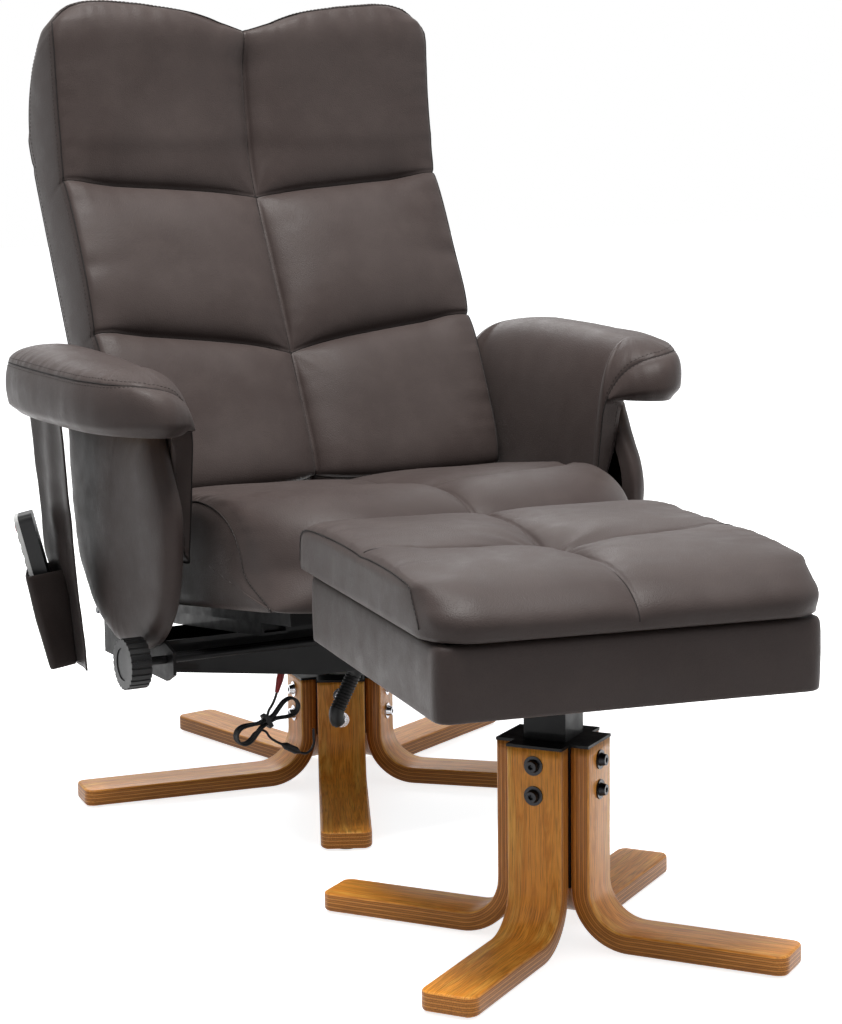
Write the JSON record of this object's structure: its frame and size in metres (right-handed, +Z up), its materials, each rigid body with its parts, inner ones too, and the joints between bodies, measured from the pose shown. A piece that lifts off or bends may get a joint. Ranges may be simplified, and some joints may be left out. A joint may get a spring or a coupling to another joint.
{
  "type": "massage recliner with footstool",
  "caption": "Reclining massage chair on a bentwood swivel base with padded arms, a remote in a side pouch and a matching storage footstool.",
  "frame": {"origin": "on the floor under the chair's swivel axis", "axes": "+Z up along the swivel axis, the chair faces -Y, +X towards its left arm"},
  "size_m": [0.816, 1.2955, 0.9832],
  "materials": {
    "leather": "satin",
    "oak": "satin",
    "plywood": "matte",
    "black_steel": "satin",
    "bright_steel": "polished",
    "zinc_steel": "satin",
    "black_plastic": "matte",
    "nylon": "matte",
    "silver_plastic": "gloss",
    "red_plastic": "satin",
    "lead_black": "satin",
    "heater_cloth": "matte"
  },
  "bodies": {
    "base": {"chair_hub": "black_steel", "chair_leg_a": "oak", "chair_leg_b": "oak", "chair_leg_c": "oak", "chair_leg_d": "oak", "chair_leg_e": "oak", "chair_leg_bolts": "bright_steel", "chair_glides": "black_plastic", "swivel_post": "black_steel", "swivel_bearing": "nylon"},
    "swivel_frame": {"cross_frame": "black_steel", "side_boards": "plywood", "side_panel_left": "leather", "side_panel_right": "leather", "arm_boards": "plywood", "arm_pad_left": "leather", "arm_pad_right": "leather", "arm_inner_left": "leather", "arm_inner_right": "leather", "slide_rails": "zinc_steel", "tension_rod": "black_steel", "frame_screws": "zinc_steel", "pivot_bushes": "nylon", "remote_pouch": "leather", "control_box": "black_plastic", "lead_boot": "red_plastic", "massage_lead": "lead_black", "lead_hank": "lead_black", "hank_tie": "black_plastic", "lead_connector": "lead_black", "conduit": "lead_black"},
    "seat": {"seat_frame": "black_steel", "seat_springs": "zinc_steel", "seat_cushion": "leather", "seat_motors": "black_plastic"},
    "backrest": {"back_frame": "black_steel", "back_springs": "zinc_steel", "back_cushion": "leather", "back_cover": "leather", "back_motors": "black_plastic", "heat_pad": "heater_cloth", "pivot_pins": "bright_steel"},
    "left_knob": {"knob_left": "black_plastic"},
    "right_knob": {"knob_right": "black_plastic"},
    "remote": {"remote_case": "black_plastic", "remote_face": "silver_plastic"},
    "power": {"button_power": "red_plastic"},
    "heat": {"button_heat": "black_plastic"},
    "mode": {"button_mode": "black_plastic"},
    "speed": {"button_speed": "black_plastic"},
    "footstool": {"stool_hub": "black_steel", "stool_legs": "oak", "stool_bolts": "black_steel", "stool_glides": "black_plastic", "stool_post_tube": "black_steel", "storage_box": "leather", "box_hinges": "zinc_steel"},
    "footstool_lid": {"lid_board": "plywood", "lid_hinges": "zinc_steel", "stool_cushion": "leather"}
  },
  "joints": [
    {"name": "swivel", "type": "hinge", "parent": "base", "child": "swivel_frame", "pos_m": [0, 0, 0], "axis": [0, 0, 1], "continuous": true},
    {"name": "recline", "type": "hinge", "parent": "swivel_frame", "child": "backrest", "pos_m": [0, 0.0748, 0.39952], "axis": [-1, 0, 0], "range_deg": [0, 30]},
    {"name": "seat_slide", "type": "slide", "parent": "swivel_frame", "child": "seat", "axis": [0, -0.9932, 0.1167], "range_m": [0, 0.0363]},
    {"name": "knob_left_turn", "type": "hinge", "parent": "swivel_frame", "child": "left_knob", "pos_m": [0.344, -0.153, 0.216], "axis": [1, 0, 0], "range_deg": [0, 180]},
    {"name": "knob_right_turn", "type": "hinge", "parent": "swivel_frame", "child": "right_knob", "pos_m": [-0.344, -0.153, 0.216], "axis": [-1, 0, 0], "range_deg": [0, 180]},
    {"name": "remote_lift", "type": "slide", "parent": "swivel_frame", "child": "remote", "axis": [-0.2146, 0.0867, 0.9729], "range_m": [0, 0.09]},
    {"name": "power_press", "type": "slide", "parent": "remote", "child": "power", "axis": [0.902, -0.3644, 0.2314], "range_m": [0, 0.0012], "stiffness_N_per_m": 200, "springref_m": -0.001},
    {"name": "heat_press", "type": "slide", "parent": "remote", "child": "heat", "axis": [0.902, -0.3644, 0.2314], "range_m": [0, 0.0012], "stiffness_N_per_m": 200, "springref_m": -0.001},
    {"name": "mode_press", "type": "slide", "parent": "remote", "child": "mode", "axis": [0.902, -0.3644, 0.2314], "range_m": [0, 0.0012], "stiffness_N_per_m": 200, "springref_m": -0.001},
    {"name": "speed_press", "type": "slide", "parent": "remote", "child": "speed", "axis": [0.902, -0.3644, 0.2314], "range_m": [0, 0.0012], "stiffness_N_per_m": 200, "springref_m": -0.001},
    {"name": "footstool_move", "type": "slide", "parent": "base", "child": "footstool", "axis": [0, -1, 0], "range_m": [0, 0.3]},
    {"name": "lid_open", "type": "hinge", "parent": "footstool", "child": "footstool_lid", "pos_m": [0.09704, -0.72268, 0.3591], "axis": [0.1685, 0.9857, 0], "range_deg": [0, 85]}
  ],
  "couplings": [
    {"joint": "seat_slide", "follows": "recline", "m_per_rad": 0.069203}
  ]
}
